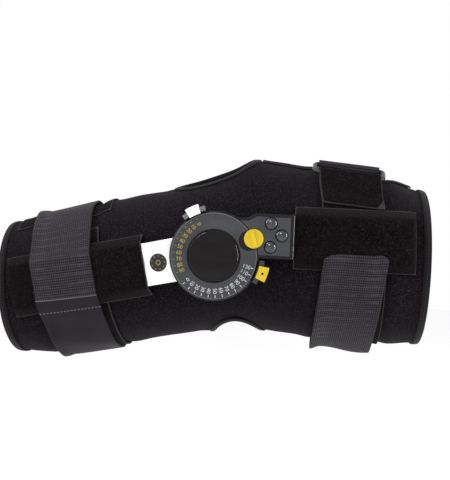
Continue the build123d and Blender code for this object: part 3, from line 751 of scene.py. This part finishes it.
def binding(name, rim, slot_nodes, width=5.0, proud=0.8):
    """Tape folded over an edge of the wrap: outside, round the edge and inside."""
    u, turn, du, dturn = rim
    profile = [(width, proud * 0.5), (width - 0.6, proud), (0.6, proud + 0.1), (-0.5, proud * 0.4)]
    profile += [(-0.9, -WALL * 0.3), (-0.9, -WALL * 0.7), (-0.4, -WALL - 0.3)]
    profile += [(0.8, -WALL - 0.7), (width - 0.6, -WALL - 0.7), (width, -WALL - 0.3)]
    rows, cloth = [], []
    first = leg(u, turn)
    steps = np.linalg.norm(np.roll(first, -1, 0) - first, axis=1)
    run = np.concatenate([[0], np.cumsum(steps)[:-1]])
    across = 0.0
    for index, (away, out) in enumerate(profile):
        rows.append(leg(u + du * away, turn + dturn * away, out))
        if index:
            across += math.dist(profile[index], profile[index - 1])
        cloth.append(np.stack([run, across + 0 * run, 0 * run + 5], -1))
    piece = make(name, rows, grid_faces(len(rows), len(u), True), np.array(cloth))
    face_outward(piece)
    thicken(piece, 0.6, 0, round_by=0, levels=1)
    worn(piece, TAPE, "binding", *slot_nodes)
    return piece


def face_outward(piece):
    """Turn the faces so that the tape's outer face looks away from the wrap's inside."""
    mesh = piece.data
    co = places_of(mesh)
    first = mesh.polygons[0]
    middle = co[list(first.vertices)].mean(0)
    if Vector(middle).length and first.normal.dot(Vector((0, middle[1], middle[2]))) < 0:
        mesh.flip_normals()


# ---- bands, straps and flaps ----


def ring_bar(limb, side):
    """Lateral and front distances of a ring's long bar: nearer the side (1) or the front (-1)."""
    low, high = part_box(limb["ring"])
    middle = (low + high) / 2 / MM
    flex = math.radians(REST_FLEXION) if limb is CALF else 0.0
    front = -middle.x * math.sin(flex) + middle.z * math.cos(flex)
    turn = math.radians(limb["tilt"])
    lateral = abs(middle.y) + side * RING_HALF_WIDTH * math.cos(turn)
    return lateral, front - side * RING_HALF_WIDTH * math.sin(turn), middle.x


def bar_at(limb, bar, u):
    """The bar's place in the section at u: the thigh's ring slopes down away from the knee."""
    return bar[0], bar[1] - limb["slope"] * (u - bar[2])


def cover_level(limb, u):
    """Outer face of a bar cover, from the leg's middle plane."""
    if limb is THIGH:
        low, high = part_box("lateral_thigh_cover")
        return 0 * u - low.y / MM
    low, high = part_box("lateral_shin_bar")
    straight = -low.y / MM + COVER_OVER_BAR
    past_bend = (u - SHIN_BAR_BEND[0]) / (SHIN_BAR_BEND[1] - SHIN_BAR_BEND[0])
    return straight - SHIN_BAR_DROP * np.clip(past_bend, 0, 1)


def taut(limb, u, turns, out, over_covers=False, slope=0.0, extra=()):
    """Section points of webbing pulled tight round the leg, and over the bar covers. slope is
    how far it runs up the leg for each millimetre to the front."""
    ring = np.arange(0, 360, 4.0)
    level_front = section(np.full(ring.shape, u), ring, out)[1]
    lateral, front = section(u + slope * level_front, ring, out)
    lateral = lateral * limb["sign"]
    solid = [np.stack([lateral, front], -1)]
    if over_covers:
        face = float(cover_level(limb, np.array(u))) + 0.5
        for edge in limb["cover"]["bar_edges"]:
            solid.append(np.array([[face, edge], [-face, edge]]))
    if len(extra):
        solid.append(np.array(extra))
    solid = np.concatenate(solid)
    middle = (front.max() + front.min()) / 2
    solid = solid - (0, middle)
    looks = np.radians(np.arange(0, 360, 1.5))
    normals = np.stack([np.sin(looks), np.cos(looks)], -1)
    support = (solid @ normals.T).max(0)
    a = np.radians(turns)
    toward = np.cos(a[:, None] - looks[None])
    reach = np.where(toward > 0.05, support[None] / np.maximum(toward, 0.05), 1e9).min(1)
    kernel = np.array([1, 2, 1]) / 4
    reach[1:-1] = np.convolve(reach, kernel, "same")[1:-1]
    return np.stack([np.sin(a) * reach, middle + np.cos(a) * reach], -1)


def round_bar(bar, start, end, radius):
    """Points round a ring's bar between two angles from its top."""
    a = np.radians(np.linspace(start, end, 12))
    return np.stack([bar[0] + radius * np.sin(a), bar[1] + radius * np.cos(a)], -1)


def strip(name, limb, middle, paths, thickness, round_end=0.0, slope=0.0, seam=0.0):
    """Webbing from its path at each place across its width. middle is where its middle line
    lies along the leg; its material counts from the seam."""
    across = np.linspace(-WEBBING / 2, WEBBING / 2, len(paths))
    lengths = []
    for path in paths:
        steps = np.linalg.norm(np.diff(path, axis=0), axis=1)
        lengths.append(np.concatenate([[0], np.cumsum(steps)]))
    run = np.mean(lengths, axis=0)
    rows, cloth = [], []
    for offset, path in zip(across, paths):
        narrow = np.ones(len(run))
        if round_end:
            left = np.clip(round_end - run, 0, round_end)
            narrow = 1 - (round_end - np.sqrt(round_end**2 - left**2)) / (WEBBING / 2)
        u = middle + offset * narrow + slope * path[:, 1]
        rows.append(stand(u, path[:, 0] * limb["sign"], path[:, 1]))
        edge = np.minimum(WEBBING / 2 - abs(offset) + 0 * run, np.minimum(run, run[-1] - run))
        cloth.append(np.stack([run - seam, offset * narrow, edge], -1))
    piece = make(name, rows, grid_faces(len(rows), len(run)), np.array(cloth))
    thicken(piece, thickness, 0, round_by=0.4)
    return piece, float(run[-1]) * MM


def loop_band(limb, name):
    """Band under the strap: turned round the ring's lower bar, then round the side and back."""
    bar = ring_bar(limb, 1)
    radius = RING_BAR_R + BAND_T / 2 + RING_PLAY
    start = math.degrees(math.atan2(bar[0], bar[1]))
    over_turns = start + np.array([25.0, 18.0, 11.0])
    body_turns = np.arange(start + 3, BAND_END_TURN, 2.5)
    toward_ring = bar[2] - limb["band"] if limb is THIGH else 0.0
    paths = []
    for offset in np.linspace(-WEBBING / 2, WEBBING / 2, 9):
        u = limb["band"] + offset
        over = taut(limb, u, over_turns, BAND_T * 1.6 + 2.0)
        fold = round_bar(bar_at(limb, bar, u + toward_ring), start + 15, -170, radius)
        body = taut(limb, u, body_turns, BAND_T / 2 + BAND_STANDOFF)
        paths.append(np.concatenate([over, fold, body]))
    away = np.concatenate([over_turns, np.full(len(fold), start), body_turns]) - start
    middle = limb["band"] + toward_ring * (1 - ease((away + 12) / 60))
    piece, length = strip(name + "_webbing", limb, middle, paths, BAND_T)
    worn(piece, PILE, "loop_pile", name)


def hook_strap(limb, name, material, slack=0.0):
    """Strap from its hook end on one bar cover, round the back and up to the ring's other bar."""
    bar = ring_bar(limb, -1)
    radius = RING_BAR_R + STRAP_T / 2 + RING_PLAY
    end = 360 + math.degrees(math.atan2(bar[0], bar[1]))
    turns = np.arange(limb["strap_end"], end, 1.25)
    slope = limb["slope"]
    at_ring = bar[2] - slope * bar[1] - limb["strap"] if limb is THIGH else 0.0
    middle = limb["strap"] + at_ring * ease((turns - 200) / (end - 200))
    paths = []
    for offset in np.linspace(-WEBBING / 2, WEBBING / 2, 21):
        u = limb["strap"] + offset
        here = bar_at(limb, bar, u + at_ring + slope * bar[1])
        top = [(here[0] - 1.0, here[1] + radius)]
        askew = turns - STRAP_ASKEW * offset
        body = taut(limb, u, askew, LAYERS_UNDER_STRAP + STRAP_T / 2, True, slope, top)
        loose = slack * np.exp(-(((turns - 176) / 15) ** 2)) * (1 + 0.25 * math.sin(offset / 9))
        ripple = 0.35 * np.sin(turns * 0.21 + offset * 0.05) * ease((turns - 110) / 20)
        body = body * (1 + ((loose + ripple) / 78))[:, None]
        fold = round_bar(here, 5, 185, radius)
        under = fold[-1] + np.outer(np.linspace(2, 12, 4), (-1.0, -0.12))
        paths.append(np.concatenate([body, fold, under]))
    middle = np.concatenate([middle, np.full(len(paths[0]) - len(turns), middle[-1])])
    piece, length = strip(
        name + "_webbing", limb, middle, paths, STRAP_T, STRAP_CORNER, slope, limb["seam"]
    )
    worn(piece, material, "webbing", name)


def closure_flap(name, flap, node):
    """The overlapping edge that closes the wrap in front, lying on the wrap."""
    (start, end), turns = flap["ends"], flap["turns"]
    places = np.linspace(start, end, 34)
    around = np.linspace(*turns, 15)
    u, turn = np.meshgrid(places, around, indexing="ij")
    points = leg(u, turn, 0.35 + FLAP_T / 2)
    edge = np.minimum(np.radians(turn - turns[0]), np.radians(turns[1] - turn)) * FLAP_RADIUS
    edge = np.minimum(edge, np.minimum(u - start, end - u))
    cloth = np.stack([u, np.radians(turn) * FLAP_RADIUS, edge], -1)
    piece = make(name, points, grid_faces(len(places), len(around)), cloth)
    thicken(piece, FLAP_T, 0, round_by=0.3)
    worn(piece, PILE, "loop_pile", node)


# ---- bar covers ----


def bar_cover(side, limb, name):
    """Padded sleeve over a bar: open towards the knee, sewn down along its other edges."""
    sign = 1 if side == "lateral" else -1
    edges, ends = limb["cover"]["bar_edges"], limb["cover"]["ends"]
    middle = sum(edges) / 2
    stiff_to = ends[1] - COVER_END_SLOPE * limb["sign"]
    half = WEBBING / 2
    corner = (edges[1] - edges[0]) / 2 / half
    count = 44
    places = np.linspace(ends[0], ends[1], count)
    across = np.sin(np.linspace(-1, 1, 27) * math.pi / 2 * 0.92) / math.sin(math.pi / 2 * 0.92)
    u, t = np.meshgrid(places, across, indexing="ij")
    front = middle + t * half
    over_band = window(u, limb["band"], half, 3) * (BAND_T + 1.4)
    reach = np.where(front > 0, along(u, FRONT), along(u, BACK)) + cinch(u)
    round_off = np.sqrt(np.clip(1 - (front / reach) ** 2, 0.05, 1))
    sleeve = (along(u, SIDE) + cinch(u)) * round_off + 0.6 + over_band
    level = cover_level(limb, u) - 0.6
    fall = np.clip((np.abs(t) - corner) / (1 - corner), 0, 1)
    held_out = 1 - fall**1.35
    last = np.clip((ends[1] - u) / (ends[1] - stiff_to), 0, 1)
    rise = held_out * np.sqrt(np.clip(last * (2 - last), 0, 1))
    lateral = sleeve + np.maximum(level - sleeve, 0.4) * rise
    lateral = lateral + 0.25 * np.sin(u * 0.31) * np.sin(front * 0.4) * (1 - fall) * last
    if limb is THIGH:
        points = np.stack([u, -sign * lateral, front], -1)
    else:
        points = stand(u, sign * lateral, front)
    edge = np.minimum((1 - np.abs(t)) * half, np.minimum(np.abs(u - ends[0]), np.abs(ends[1] - u)))
    cloth = np.stack([u, front, edge], -1)
    piece = make(f"{side}_{name}_sleeve", points, grid_faces(count, len(across)), cloth)
    outward = piece.data.polygons[count].normal.y * -sign
    if outward < 0:
        piece.data.flip_normals()
    held = (edge < 2.0).ravel()
    swell(piece, held, 3.0, 0.5)
    thicken(piece, COVER_T, -1, round_by=0.5)
    piece.data.materials.append(PILE)
    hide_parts(f"{side}_{name}")
    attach(piece, limb["body"])


# ---- dial print ----


def dial_matrix(side, radius, angle, reading):
    """Where a mark stands on a dial: its middle, and the way it reads."""
    a, r = math.radians(angle), math.radians(reading)
    sign = -1 if side == "lateral" else 1
    reads = Vector((math.cos(r), 0, math.sin(r))) * -sign
    upward = Vector((-math.sin(r), 0, math.cos(r)))
    normal = Vector((0, sign, 0))
    basis = Matrix((reads, upward, normal)).transposed().to_4x4()
    level = sign * (DIAL_FACE + PRINT_LIFT)
    place = Vector((radius * math.cos(a), level, radius * math.sin(a))) * MM
    return Matrix.Translation(place) @ basis


def numeral(text):
    """Flat outline of a number, as points and faces about its middle."""
    curve = bpy.data.curves.new("numeral", "FONT")
    curve.body = text
    curve.size = NUMERAL_SIZE * MM
    curve.align_x = "CENTER"
    curve.align_y = "CENTER"
    curve.offset = -0.055 * MM
    holder = bpy.data.objects.new("numeral", curve)
    mesh = bpy.data.meshes.new_from_object(holder)
    points = places_of(mesh)
    points -= (points.max(0) + points.min(0)) / 2
    faces = [tuple(p.vertices) for p in mesh.polygons]
    bpy.data.objects.remove(holder)
    bpy.data.meshes.remove(mesh)
    return points, faces


def tick(width, length):
    x, y = length * MM / 2, width * MM / 2
    return np.array([(-x, -y, 0), (x, -y, 0), (x, y, 0), (-x, y, 0)]), [(0, 1, 2, 3)]


def scale_marks(side, scale):
    """Every number of one scale and its tick, as one set of points and faces."""
    points, faces = [], []
    middle, length = sum(TICK_R) / 2, TICK_R[1] - TICK_R[0]

    def put(shape, matrix):
        base = sum(len(p) for p in points)
        stood = np.array([matrix @ Vector(p) for p in shape[0]])
        points.append(stood)
        faces.extend(tuple(base + i for i in f) for f in shape[1])

    for index, angle in enumerate(np.linspace(*scale["angles"], scale["count"])):
        reading = angle + 180 if scale["inward"] else angle
        put(numeral(str(index * DEGREES_PER_MARK)), dial_matrix(side, NUMERAL_R, angle, reading))
        mark = tick(TICK_W * scale["ticks"], length * scale["ticks"])
        put(mark, dial_matrix(side, middle, angle, reading))
    return np.concatenate(points), faces


def dial_print(side, name, material, scale):
    points, faces = scale_marks(side, scale)
    piece = make(f"{side}_{name}", points / MM, faces)
    ink = piece.modifiers.new("ink", "SOLIDIFY")
    ink.thickness = 0.05 * MM
    ink.offset = 0
    settle(piece)
    piece.data.materials.append(material)
    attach(piece, "thigh")


# ---- hinge finishes ----


def dress_hinges():
    """Give every CAD node that still shows its material."""
    grey = dial_grey()
    dark = moulded("moulded_dark", srgb(20, 20, 21), srgb(28, 28, 30), level=0.2)
    extension = moulded("slider_grey", srgb(112, 112, 114), srgb(132, 132, 134), level=0.3)
    flexion = moulded("slider_dark", srgb(52, 52, 54), srgb(64, 64, 66), level=0.3)
    yellow = moulded("yellow_plastic", srgb(186, 160, 16), srgb(200, 174, 22), (0.3, 0.42))
    white = moulded("white_plastic", srgb(226, 226, 224), srgb(236, 236, 234), (0.35, 0.5))
    nylon = moulded("nylon", srgb(188, 184, 172), srgb(206, 202, 190), (0.4, 0.55))
    bar = metal("satin_bar", srgb(240, 240, 238), (0.3, 0.42), (1, 6, 40), 0.2, 0.55)
    steel = metal("steel", srgb(150, 152, 156), (0.25, 0.4), (30, 4, 1))
    # Painted reflection: the chrome's tint is kept dark to stand in for the dark surroundings that
    # real chrome mirrors.
    chrome = metal("chrome", srgb(78, 77, 82), (0.12, 0.24), (4, 4, 4), 0.1)
    finishes = {
        "back_cover": dark,
        "front_cover": grey,
        "centre_cap": gloss_black(),
        "pivot_rivet": steel,
        "pivot_washer": nylon,
        "pivot_spacer": nylon,
        "thigh_bar": bar,
        "shin_bar": bar,
        "badge_disc": badge_finish(),
        "arm_rivets": chrome,
        "lock_button": yellow,
        "lock_pawl": steel,
        "extension_stop": extension,
        "extension_tab": white,
        "flexion_stop": flexion,
        "flexion_tab": yellow,
    }
    for side in ("lateral", "medial"):
        for name, finish in finishes.items():
            dress(f"{side}_{name}", finish)
    ring = moulded("ring_black", srgb(24, 23, 25), srgb(34, 33, 36), (0.25, 0.4))
    for name in ("thigh_ring", "calf_ring"):
        dress(name, ring)


def dress(node, material):
    """Give a CAD node its material, and the fine rounding that real edges have."""
    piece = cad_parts[node]
    piece.data.materials.clear()
    piece.data.materials.append(material)
    joined = piece.modifiers.new("joined", "WELD")
    joined.merge_threshold = 0.002 * MM
    edge = piece.modifiers.new("edge", "BEVEL")
    edge.width = EDGE_ROUND * MM
    edge.segments = 2
    edge.limit_method = "ANGLE"
    edge.angle_limit = math.radians(40)
    edge.harden_normals = False


# ---- studio ----


def add_camera():
    yaw, roll = math.radians(CAMERA_YAW), math.radians(CAMERA_ROLL)
    forward = Vector((-math.sin(yaw), math.cos(yaw), 0))
    level = Vector((math.cos(yaw), math.sin(yaw), 0))
    right = level * math.cos(roll) + Vector((0, 0, math.sin(roll)))
    up = right.cross(forward)
    dial = Vector((0, -DIAL_FACE, 0))
    place = dial - forward * CAMERA_DISTANCE + right * CAMERA_ASIDE + up * CAMERA_ABOVE
    camera = bpy.data.objects.new("camera", bpy.data.cameras.new("camera"))
    camera.matrix_world = Matrix.Translation(place * MM) @ Matrix(
        (right, up, -forward)
    ).transposed().to_4x4()
    camera.data.lens = LENS
    camera.data.sensor_width = 36
    camera.data.clip_start = 0.01
    bpy.context.scene.collection.objects.link(camera)
    bpy.context.scene.camera = camera


def add_light(name, place, aim, size, power, thin=1.0):
    """Area light; thin makes it a strip, for crisp lines in glossy edges."""
    light = bpy.data.lights.new(name, "AREA")
    light.shape = "RECTANGLE"
    light.size = size * thin
    light.size_y = size
    light.energy = power
    holder = bpy.data.objects.new(name, light)
    holder.location = place
    holder.rotation_euler = (Vector(aim) - Vector(place)).to_track_quat("-Z", "Y").to_euler()
    bpy.context.scene.collection.objects.link(holder)


def add_studio():
    """White surroundings, a floor below the swinging shin, and soft lights."""
    world = bpy.data.worlds.new("studio")
    world.use_nodes = True
    world.node_tree.nodes["Background"].inputs["Color"].default_value = (1, 1, 1, 1)
    world.node_tree.nodes["Background"].inputs["Strength"].default_value = 1.0
    bpy.context.scene.world = world
    bpy.context.scene.view_settings.view_transform = "Standard"
    half, level = 4.0, -0.3
    corners = [(-half, -half, level), (half, -half, level), (half, half, level), (-half, half, level)]
    mesh = bpy.data.meshes.new("floor")
    mesh.from_pydata(corners, [], [(0, 1, 2, 3)])
    floor = bpy.data.objects.new("floor", mesh)
    floor.data.materials.append(pale_floor())
    bpy.context.scene.collection.objects.link(floor)
    add_light("key", (-0.35, -1.1, 0.9), (0, 0, 0), 0.35, 6)
    add_light("left", (-1.0, -0.3, 0.75), (0, 0, 0), 1.3, 8, thin=0.06)
    add_light("right", (1.1, -0.3, 0.2), (0, 0, 0), 0.8, 5, thin=0.06)


PILE = loop_pile()
TAPE = tape()
YELLOW_INK = printed("yellow_ink", srgb(186, 162, 54))
WHITE_INK = printed("white_ink", srgb(215, 215, 216))

add_camera()
add_studio()

sleeve = wrap()
worn(sleeve, neoprene(), "neoprene", "wrap_thigh_section", "wrap_knee_section", "wrap_calf_section")

binding("patella_binding_tape", rim_of(PATELLA), ["patella_binding"])
binding("popliteal_binding_tape", rim_of(POPLITEAL), [])
binding("thigh_end_tape", end_rim(WRAP_END), ["thigh_end_binding"])
binding("calf_end_tape", end_rim(WRAP_START), ["calf_end_binding"])
closure_flap("thigh_flap", THIGH_FLAP, "thigh_closure_flap")
closure_flap("calf_flap", CALF_FLAP, "calf_closure_flap")
loop_band(THIGH, "thigh_loop_band")
loop_band(CALF, "calf_loop_band")
hook_strap(THIGH, "thigh_strap", hook_webbing("thigh_hook_webbing", False), SLACK_RISE)
hook_strap(CALF, "calf_strap", hook_webbing("calf_hook_webbing", True))
for face in ("lateral", "medial"):
    bar_cover(face, THIGH, "thigh_cover")
    bar_cover(face, CALF, "calf_cover")
    dial_print(face, "extension_scale", YELLOW_INK, EXTENSION_SCALE)
    dial_print(face, "flexion_scale", WHITE_INK, FLEXION_SCALE)
dress_hinges()
